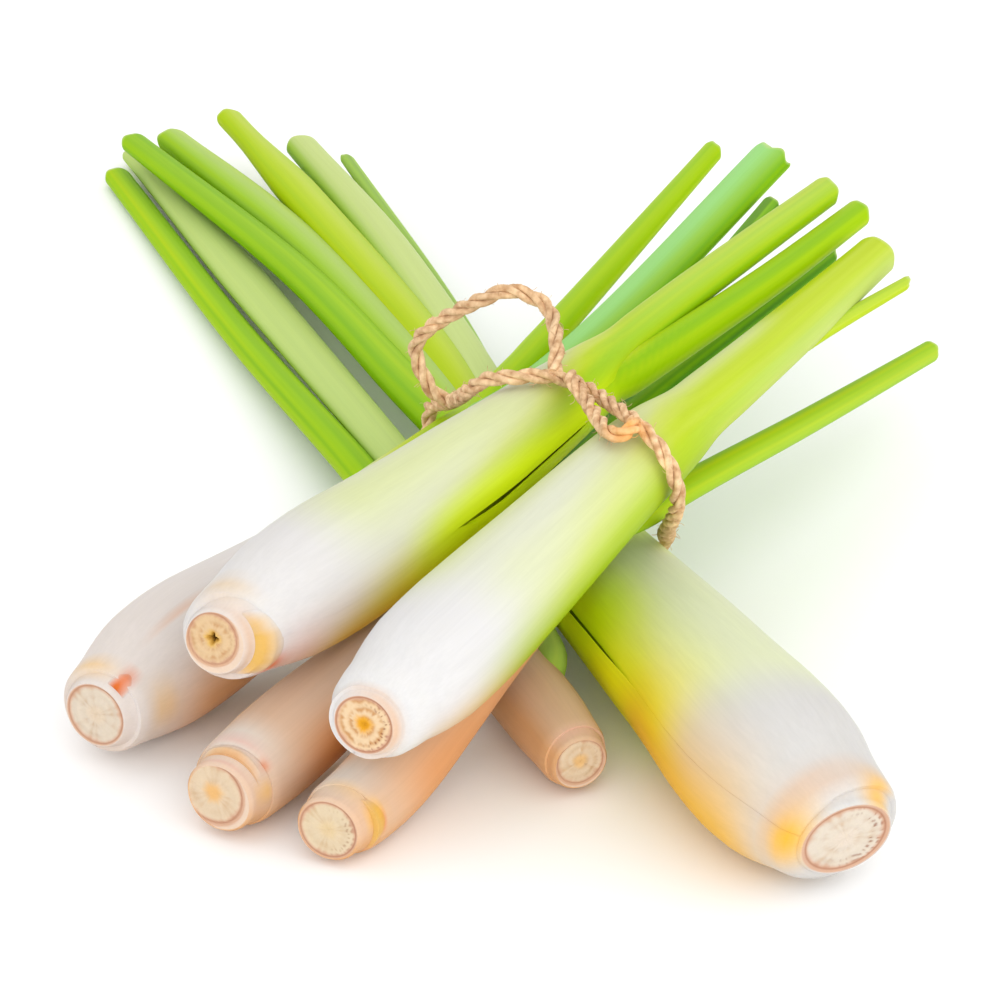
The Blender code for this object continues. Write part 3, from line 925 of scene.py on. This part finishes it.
def sheet_mesh(name, outside, inside, tint, inner_tint, grain):
    """A closed thin body from the outer and the inner grid of points of a sheet."""
    rows, columns = outside.shape[:2]
    count = rows * columns
    faces = [grid_faces(rows, columns), grid_faces(rows, columns, first=count, flip=True)]
    left, base = np.arange(rows - 1) * columns, np.arange(columns - 1)
    right, tip = left + columns - 1, base + (rows - 1) * columns
    rims = ((left, left + columns), (right + columns, right), (base + 1, base), (tip, tip + 1))
    faces += [np.stack([a, b, b + count, a + count], -1) for a, b in rims]
    pairs = ((outside, inside), (tint, inner_tint), (grain, grain))
    both = [np.vstack([a.reshape(-1, 3), b.reshape(-1, 3)]) for a, b in pairs]
    return skin_mesh(name, both[0], np.vstack(faces), both[1], both[2])


# %% The way of a leaf
# Lengths in millimetres: between rows of points, before the blade where the leaf starts to
# leave the stalk, over which it leaves and over which it rolls up
LEAF_STEP = 1.6
JOIN_AHEAD = 4.0
JOIN_LENGTH = 16.0
ROLL_LENGTH = 34.0


def leaf_rows(start, total):
    """Distances of the rows of a leaf, closer together at its lower rim and at its tip."""
    rim = start + np.array([0, 0.25, 0.8])
    middle = np.arange(start + LEAF_STEP, total - 2.0, LEAF_STEP)
    return np.concatenate([rim, middle, np.linspace(total - 1.6, total, 6)])


def leaf_line(stalk, line, blade, on_body, run):
    """Place and direction of each point, and how far it has moved from the stalk's line."""
    place, slope = body_frame(stalk, line, on_body)
    blade_place, blade_slope = blade.at(np.maximum(run, 0.0))
    joining = ease((run + JOIN_AHEAD) / JOIN_LENGTH)[..., None]
    moved = (blade_place - place) * joining
    slope = unit(slope + (blade_slope - slope) * joining)
    return place + moved, slope, np.linalg.norm(moved, axis=-1)


print("rows along a leaf of 100 mm:", len(leaf_rows(0.0, 100.0)))

# %% The whole leaf
# All in millimetres. The lower rim of a sheath is uneven over a short length. It is thicker and
# stands proud there, and its very edge is rounded, as the cut tip of the blade is.
RIM_LENGTH = 9.0
RIM_FADE = 6.0
RIM_THICK = 0.5
RIM_PROUD = 0.22
RIM_ROUND = 0.16
TIP_ROUND = 0.22
# A leaf from inside rises from this depth, over this length
HIDDEN_DEPTH = 1.2
RISE_LENGTH = 14.0
# A blade gets its own flatness over one length, and its cut is skewed over another
FLAT_LENGTH = 26.0
SKEW_LENGTH = 8.0
# How far a sheath stands off the stalk along its open edge
SHEATH_EDGE = 0.45
# Points round an outer sheath and round a leaf from inside
OUTER_COLUMNS, INNER_COLUMNS = 88, 52


def make_leaf(stalk, line, leaf, number, seed):
    """One leaf as a closed thin body, from its lower rim or hidden root to its cut tip."""
    blade = Route(leaf.route)
    joined = join_distance(line, blade)
    outer = leaf.sheath is not None
    start = leaf.sheath or leaf.starts or max(2.0, min(joined - 5.0, CORE_NARROWS * line.total))
    opens = leaf.opens or 0.65 * joined
    total = joined + blade.total
    s = leaf_rows(start, total)
    opened = ease((s - opens) / (joined - opens))
    rolled = ease((s - joined + JOIN_AHEAD) / ROLL_LENGTH)
    away = leaf_direction(stalk, line, blade, joined)
    low, high = sheet_edges(stalk, leaf, s, opened, rolled, away)

    # From here on there is a value for every point: rows along the leaf, columns round it
    q = np.linspace(-1.0, 1.0, OUTER_COLUMNS if outer else INNER_COLUMNS)[None]
    angle = low[:, None] + (high - low)[:, None] * (q + 1) / 2
    s, rolled = s[:, None] + 0 * angle, rolled[:, None]
    rim = stalk.ring[0] + stalk.ring[1] * np.cos(angle - stalk.ring[2])
    evened = 1 - ease((s - start) / RIM_LENGTH)
    lower = (np.maximum(rim, 0.5) - start) * evened if outer else 0 * s
    on_body = np.minimum(s + lower, line.total)
    run = s - joined
    place, slope, moved = leaf_line(stalk, line, blade, on_body, run)

    # On the leaf's own side the sheath keeps the outline of the stalk until the blade is wider
    skin_wide = body_wide(stalk, on_body, 0.3) + wobble(angle, s, seed + 3, 0.06) - moved
    if outer:
        loose = ease((s - opens) / JOIN_LENGTH) * (1 - rolled)
        skin_wide = skin_wide + (0.05 + SHEATH_EDGE * loose) * (1 - q) / 2
        skin_wide = skin_wide + leaf.lift * ease((-q - 0.8) / 0.2) * loose
    else:
        risen = (HIDDEN_DEPTH - leaf.depth) * ease((s - start) / RISE_LENGTH)
        skin_wide = skin_wide - HIDDEN_DEPTH + risen
    blade_wide = table(leaf.girth, np.clip(run / blade.total, 0.0, 1.0))
    grown = blade_wide * (1 + 0.02 * streaks(angle, s, seed))
    wide = grown + (skin_wide - grown) * ease(0.5 + (skin_wide - grown) / 1.6)
    flat = body_flat(stalk, line, on_body)
    flat = flat + (leaf.flat - flat) * ease(run / FLAT_LENGTH)

    # A sheath is thin; a rolled blade is nearly full, and laps over its own inner edge
    thick = SHEATH_THICK + (0.55 * blade_wide - SHEATH_THICK) * rolled
    thick = thick * (1 - ease((abs(q) - 0.9) / 0.1) * 0.7)
    if outer:
        at_rim = 1 - ease((s - start) / RIM_FADE)
        thick = thick + RIM_THICK * at_rim
        wide = wide + RIM_PROUD * at_rim - RIM_ROUND * (1 - ease((s - start) / 0.8))
    wide = wide - 0.5 * ease((-q - 0.76) / 0.24) * rolled * np.minimum(1.0, blade_wide / 2.2)
    wide = wide - TIP_ROUND * ease((s - total + 0.6) / 0.6)
    skewed = leaf.skew * np.cos(angle - 2.6) + leaf.ragged * np.sin(5 * angle + seed)
    place = place + slope * (skewed * ease((s - total + SKEW_LENGTH) / SKEW_LENGTH))[..., None]
    outside = ring_points(place, slope, wide, wide * flat, angle)
    inside = ring_points(place, slope, wide - thick, (wide - thick) * flat, angle)

    tint = skin_colour(stalk, leaf, s + lower + leaf.ahead, angle, seed)
    tint = mixed(tint, PALE_LEAF, 0.6 * ease((s - total + 0.9) / 0.8))
    inner_tint = mixed(tint, PALE_LEAF, 0.3 * rolled + 0 * s)
    grain = np.stack([wide * np.cos(angle) + 37 * number, wide * np.sin(angle), s], -1)
    return sheet_mesh(f"{stalk.name}_leaf_{number}", outside, inside, tint, inner_tint, grain)


# %% [markdown]
# Where an older leaf was torn or cut off, a short piece of its sheath stays on the base. It is
# a small curved sheet with a rounded outline, and it dries to orange at its rim.

# %% Scars of older leaves
def make_scar(stalk, line, scar, number, seed):
    low, high, start, stop, height, hue = scar
    s = np.linspace(start, stop, 14)[:, None]
    q = np.linspace(-1.0, 1.0, 48)[None]
    angle = (low + high) / 2 + (high - low) / 2 * q + 0 * s
    t = (s - start) / (stop - start) + 0 * q
    bulge = 0.06 + 0.94 * (1 - q**2)
    away = start + (s - start) * bulge
    base = body_wide(stalk, away, 0.6 * stalk.ring[0])
    wide = base + height * bulge * (1 - t) + 0.12 * (1 - t) + 0.04 * t
    place, slope = body_frame(stalk, line, away)
    flat = body_flat(stalk, line, away)
    outside = ring_points(place, slope, wide, wide * flat, angle)
    inside = ring_points(place, slope, base - 0.3, (base - 0.3) * flat, angle)
    tint = skin_colour(stalk, None, away, angle, seed)
    tint = mixed(tint, hue, (1.1 - t + 0.2 * streaks(3 * angle, s, seed)) * bulge)
    grain = np.stack([wide * np.cos(angle), wide * np.sin(angle), away], -1)
    return sheet_mesh(f"{stalk.name}_scar_{number}", outside, inside, tint, tint, grain)


# %% Make every stalk
def make_stalk(stalk, seed):
    line = Route(stalk.route)
    meshes = [make_core(stalk, line, seed)]
    for i, leaf in enumerate(stalk.leaves):
        meshes.append(make_leaf(stalk, line, leaf, i, seed + 17 * (i + 1)))
    meshes += [make_scar(stalk, line, scar, i, seed) for i, scar in enumerate(stalk.scars)]
    pieces = [as_object(mesh.name, mesh, skin) for mesh in meshes]
    for piece in pieces:
        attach(piece, "root")
    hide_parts(stalk.name)
    return pieces


made = {stalk.name: make_stalk(stalk, 100 * i + 7) for i, stalk in enumerate(STALKS)}
for name, pieces in made.items():
    print(name, "faces:", sum(len(piece.data.polygons) for piece in pieces))

# %% [markdown]
# ## The twine
# Kitchen twine is three hairy plies twisted round each other. A round tube with a twisted bump
# would have a smooth outline, so the plies are real. Geometry Nodes follow the route: the
# curve's tilt grows with its length, so a profile of three small circles is swept into three
# plies that wind round each other. Fibres that stick out are scattered over them.

# %% The twine's routes
TWINE_LOOP = [
    (-6.5, 10, 24), (-5.1, 2.8, 28.8), (-3.6, -2.8, 33.2), (-1.5, -4.8, 35.6),
    (1.9, -6.3, 36.7), (5.7, -6, 36.7), (9, -6.2, 36.1), (11.8, -9.8, 36.5),
    (14.3, -15.6, 37.7), (17.2, -21.2, 38.3), (20.2, -24.5, 36.2), (22, -25.7, 32.3),
    (22.2, -23.6, 27.5), (21.6, -18.7, 22.4), (21.1, -13, 17.6), (21.7, -7, 14),
    (21, -2.2, 9.5), (18, -0.2, 4.3), (12.5, 0.8, 1.4), (6, 1.8, 1.35), (-2, 2.5, 1.35),
    (-10, 3.5, 1.4), (-16, 4.7, 2.3), (-19.3, 6.6, 5.9), (-19.2, 9.5, 10),
    (-14.7, 13, 11.6), (-10.6, 16.2, 13.3), (-9.5, 17.2, 16.5), (-9, 15.7, 20.2),
    (-6.5, 10, 24),
]
TWINE_EAR = [
    (7, -5.7, 37), (7.2, -1.5, 39.5), (6, 3.7, 41.5), (1.7, 5.2, 43), (-1.8, 5.2, 42),
    (-6.3, 8.2, 38), (-9.8, 10.7, 34), (-11, 11.6, 31), (-10.2, 10.8, 28),
    (-8.6, 9.8, 25.5), (-6.5, 9.5, 24.3),
]
TWINE_END = [
    (9, -6.2, 36.7), (9.5, -9.8, 37.6), (11.2, -15, 37.6), (12.8, -21.2, 38), (14.3, -24.6, 38.6),
    (16.2, -24.2, 39), (16.9, -21, 38.4),
]
# Where sap has stained the hooked end
TWINE_STAIN = (15.8, -24.0, 38.8)
for name, run in (("loop", TWINE_LOOP), ("ear", TWINE_EAR), ("hooked end", TWINE_END)):
    print("twine in its", name + ":", round(Route(run).total), "mm")


def twine_curve():
    """One curve object with the three runs of twine as splines, in metres."""
    curve = bpy.data.curves.new("twine_line", "CURVE")
    curve.dimensions = "3D"
    for route in (TWINE_LOOP, TWINE_EAR, TWINE_END):
        dense = smooth_route(route) * MM
        spline = curve.splines.new("POLY")
        spline.points.add(len(dense) - 1)
        spline.points.foreach_set("co", np.hstack([dense, np.ones((len(dense), 1))]).ravel())
    return add_object("twine_line", curve)


# %% The twine's material
# The fibres of a ply lie aslant: radians round the ply for each metre along it
FIBRE_SLANT = 5200.0
TWINE_DARK, TWINE_PALE = linear(0.73, 0.55, 0.38), linear(0.96, 0.83, 0.66)
TWINE_SAP = linear(0.96, 0.66, 0.24)


def make_twine_material():
    material, tree, shader = new_material("jute_twine", 0.9)
    place = node(tree, "ShaderNodeTexCoord", {}).outputs["Object"]
    ply, run = read_attribute(tree, "ply_turn")["Fac"], read_attribute(tree, "run")["Fac"]
    wave = maths(tree, "SINE", maths(tree, "MULTIPLY_ADD", run, FIBRE_SLANT, ply))
    fine = noise(tree, place, 900.0, 4.0)
    ramp = node(tree, "ShaderNodeValToRGB", {"Fac": fine})
    stops = ramp.color_ramp.elements
    stops[0].position, stops[0].color = 0.3, (*TWINE_DARK, 1)
    stops[1].position, stops[1].color = 0.7, (*TWINE_PALE, 1)
    shade = remap(tree, noise(tree, place, 140.0, 2.0), 0.3, 0.7, 0.88, 1.1)
    colour = scaled_colour(tree, ramp.outputs["Color"], shade)
    inputs = {0: place, 1: (np.array(TWINE_STAIN) - CENTRE) * MM}
    far = node(tree, "ShaderNodeVectorMath", inputs, operation="DISTANCE").outputs["Value"]
    near = remap(tree, far, 0.001, 0.0035, 0.6, 0.0)
    inputs = {0: near, 6: colour, 7: (*TWINE_SAP, 1)}
    stained = node(tree, "ShaderNodeMix", inputs, data_type="RGBA").outputs[2]
    tree.links.new(stained, shader.inputs["Base Color"])
    height = maths(tree, "MULTIPLY_ADD", wave, 0.08, fine)
    tree.links.new(raised(tree, height, 0.7, 0.00015), shader.inputs["Normal"])
    return material


jute = make_twine_material()
print("twine material with", len(jute.node_tree.nodes), "nodes")

# %% The twine's node tree
TWINE_INPUTS = [
    ("Ply radius", "NodeSocketFloat", 0.0005),
    ("Ply offset", "NodeSocketFloat", 0.00056),
    ("Turns per metre", "NodeSocketFloat", 108.0),
    ("Step", "NodeSocketFloat", 0.0004),
    ("Fibres per area", "NodeSocketFloat", 260000.0),
    ("Fibre length", "NodeSocketFloat", 0.0009),
    ("Fibre radius", "NodeSocketFloat", 0.00004),
    ("Seed", "NodeSocketInt", 4),
]


def twine_tree(material):
    tree = bpy.data.node_groups.new("twisted_twine", "GeometryNodeTree")
    face = tree.interface
    face.new_socket("Geometry", in_out="INPUT", socket_type="NodeSocketGeometry")
    for name, kind, value in TWINE_INPUTS:
        face.new_socket(name, in_out="INPUT", socket_type=kind).default_value = value
    face.new_socket("Geometry", in_out="OUTPUT", socket_type="NodeSocketGeometry")
    given = node(tree, "NodeGroupInput", {}).outputs

    # Even steps, then a tilt that grows with the length
    inputs = {"Curve": given["Geometry"], "Length": given["Step"]}
    line = output(tree, "GeometryNodeResampleCurve", inputs, mode="LENGTH")
    run = node(tree, "GeometryNodeSplineParameter", {}).outputs["Length"]
    inputs = {"Geometry": line, "Name": "run", "Value": run}
    line = output(tree, "GeometryNodeStoreNamedAttribute", inputs)
    turns = maths(tree, "MULTIPLY", run, given["Turns per metre"])
    inputs = {"Curve": line, "Tilt": maths(tree, "MULTIPLY", turns, 2 * math.pi)}
    line = output(tree, "GeometryNodeSetCurveTilt", inputs)

    # Three small circles as one profile
    inputs = {"Resolution": 10, "Radius": given["Ply radius"]}
    ply = output(tree, "GeometryNodeCurvePrimitiveCircle", inputs)
    part = node(tree, "GeometryNodeSplineParameter", {}).outputs["Factor"]
    turn = maths(tree, "MULTIPLY", part, 6 * math.pi)
    inputs = {"Geometry": ply, "Name": "ply_turn", "Value": turn}
    ply = output(tree, "GeometryNodeStoreNamedAttribute", inputs)
    corners = output(tree, "GeometryNodeMeshCircle", {"Vertices": 3, "Radius": given["Ply offset"]})
    plies = output(tree, "GeometryNodeInstanceOnPoints", {"Points": corners, "Instance": ply})
    plies = output(tree, "GeometryNodeRealizeInstances", {"Geometry": plies})
    inputs = {"Curve": line, "Profile Curve": plies, "Fill Caps": True}
    sweep = output(tree, "GeometryNodeCurveToMesh", inputs)

    # One bent fibre
    inputs = {"Resolution": 4, "Start": (0, 0, 0), "Start Handle": (0, 0, 0.4)}
    inputs |= {"End Handle": (0.3, 0.1, 0.6), "End": (0.75, 0.2, 0.75)}
    fibre = output(tree, "GeometryNodeCurvePrimitiveBezierSegment", inputs)
    inputs = {"Geometry": fibre, "Scale": given["Fibre length"]}
    fibre = output(tree, "GeometryNodeTransform", inputs)
    inputs = {"Resolution": 3, "Radius": given["Fibre radius"]}
    thin = output(tree, "GeometryNodeCurvePrimitiveCircle", inputs)
    inputs = {"Curve": fibre, "Profile Curve": thin, "Fill Caps": True}
    fibre = output(tree, "GeometryNodeCurveToMesh", inputs)

    # Fibres that stick out of the plies, each turned and sized at random
    inputs = {"Mesh": sweep, "Density": given["Fibres per area"], "Seed": given["Seed"]}
    roots = node(tree, "GeometryNodeDistributePointsOnFaces", inputs).outputs
    inputs = {"Min": (-1.1, -1.1, -3.14), "Max": (1.1, 1.1, 3.14), "Seed": given["Seed"]}
    spin = node(tree, "FunctionNodeRandomValue", inputs, data_type="FLOAT_VECTOR").outputs["Value"]
    spin = output(tree, "FunctionNodeEulerToRotation", {"Euler": spin})
    inputs = {"Rotation": roots["Rotation"], "Rotate By": spin}
    spin = output(tree, "FunctionNodeRotateRotation", inputs, rotation_space="LOCAL")
    inputs = {"Min": 0.35, "Max": 1.25}
    size = node(tree, "FunctionNodeRandomValue", inputs, data_type="FLOAT").outputs["Value"]
    inputs = {"Points": roots["Points"], "Instance": fibre, "Rotation": spin, "Scale": size}
    fibres = output(tree, "GeometryNodeInstanceOnPoints", inputs)

    # Fibres and plies as one plain mesh
    both = node(tree, "GeometryNodeJoinGeometry", {"Geometry": fibres})
    tree.links.new(sweep, both.inputs["Geometry"])
    real = output(tree, "GeometryNodeRealizeInstances", {"Geometry": both.outputs["Geometry"]})
    painted = output(tree, "GeometryNodeSetMaterial", {"Geometry": real, "Material": material})
    node(tree, "NodeGroupOutput", {"Geometry": painted})
    print("twine tree with", len(tree.nodes), "nodes")
    return tree


# %% Run the tree and keep a plain mesh
def baked(source, tree, values, name):
    """Runs a node tree on an object and returns the result as a plain mesh object."""
    modifier = source.modifiers.new("make", "NODES")
    modifier.node_group = tree
    sockets = {
        item.name: item.identifier for item in tree.interface.items_tree if item.in_out == "INPUT"
    }
    for key, value in values.items():
        modifier[sockets[key]] = value
    bpy.context.view_layer.update()
    graph = bpy.context.evaluated_depsgraph_get()
    mesh = bpy.data.meshes.new_from_object(source.evaluated_get(graph), depsgraph=graph)
    bpy.data.objects.remove(source)
    mesh.name = name
    return add_object(name, mesh)


twine = baked(twine_curve(), twine_tree(jute), {"Seed": 4}, "tied_twine")
twine.data.polygons.foreach_set("use_smooth", [True] * len(twine.data.polygons))
# Fibres under the bunch are bent flat onto the table
places = np.zeros(3 * len(twine.data.vertices), np.float32)
twine.data.vertices.foreach_get("co", places)
places[2::3] = np.maximum(places[2::3], 0.0)
twine.data.vertices.foreach_set("co", places)
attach(twine, "root")
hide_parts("twine")
print("twine:", len(twine.data.polygons), "faces")

# %% [markdown]
# ## Table and light
# The bunch was photographed on white, in bright soft light. One lamp alone would leave dark
# flanks, so a pale floor, a white sky and three soft lamps, in front, on the right and low
# down, share the light, and only a faint shadow is left under the stalks.

# %% Floor, sky and lamps
FLOOR_REACH = 3.0


def make_floor():
    """A plain floor a hair under the bunch, so that no face of the two falls together."""
    material, _, shader = new_material("pale_floor", 0.7)
    shader.inputs["Base Color"].default_value = (0.97, 0.97, 0.97, 1)
    mesh = bpy.data.meshes.new("floor")
    corners = ((-1, -1), (1, -1), (1, 1), (-1, 1))
    corners = [(FLOOR_REACH * x, FLOOR_REACH * y, 0) for x, y in corners]
    mesh.from_pydata(corners, [], [(0, 1, 2, 3)])
    floor = as_object("floor", mesh, material)
    floor.location.z = -0.00002


def make_lamp(name, place, power, size):
    """A square soft lamp that looks at the bunch, in metres and watts."""
    light = bpy.data.lights.new(name, "AREA")
    light.energy = power
    light.size = size
    lamp = add_object(name, light)
    lamp.location = place
    lamp.rotation_euler = (Vector(place) - Vector((0, 0, 0.02))).to_track_quat("Z", "Y").to_euler()
    print("lamp", name, "with", power, "W")


make_floor()
make_lamp("front", (0.02, -1.0, 0.58), 3.2, 0.9)
make_lamp("right", (0.8, -0.45, 0.75), 2.4, 1.2)
make_lamp("low", (0.2, -1.0, 0.14), 1.1, 0.8)
sky = bpy.data.worlds.new("white_sky")
sky.use_nodes = True
sky.node_tree.nodes["Background"].inputs["Color"].default_value = (1, 1, 1, 1)
sky.node_tree.nodes["Background"].inputs["Strength"].default_value = 1.08
bpy.context.scene.world = sky
bpy.context.scene.view_settings.view_transform = "Standard"
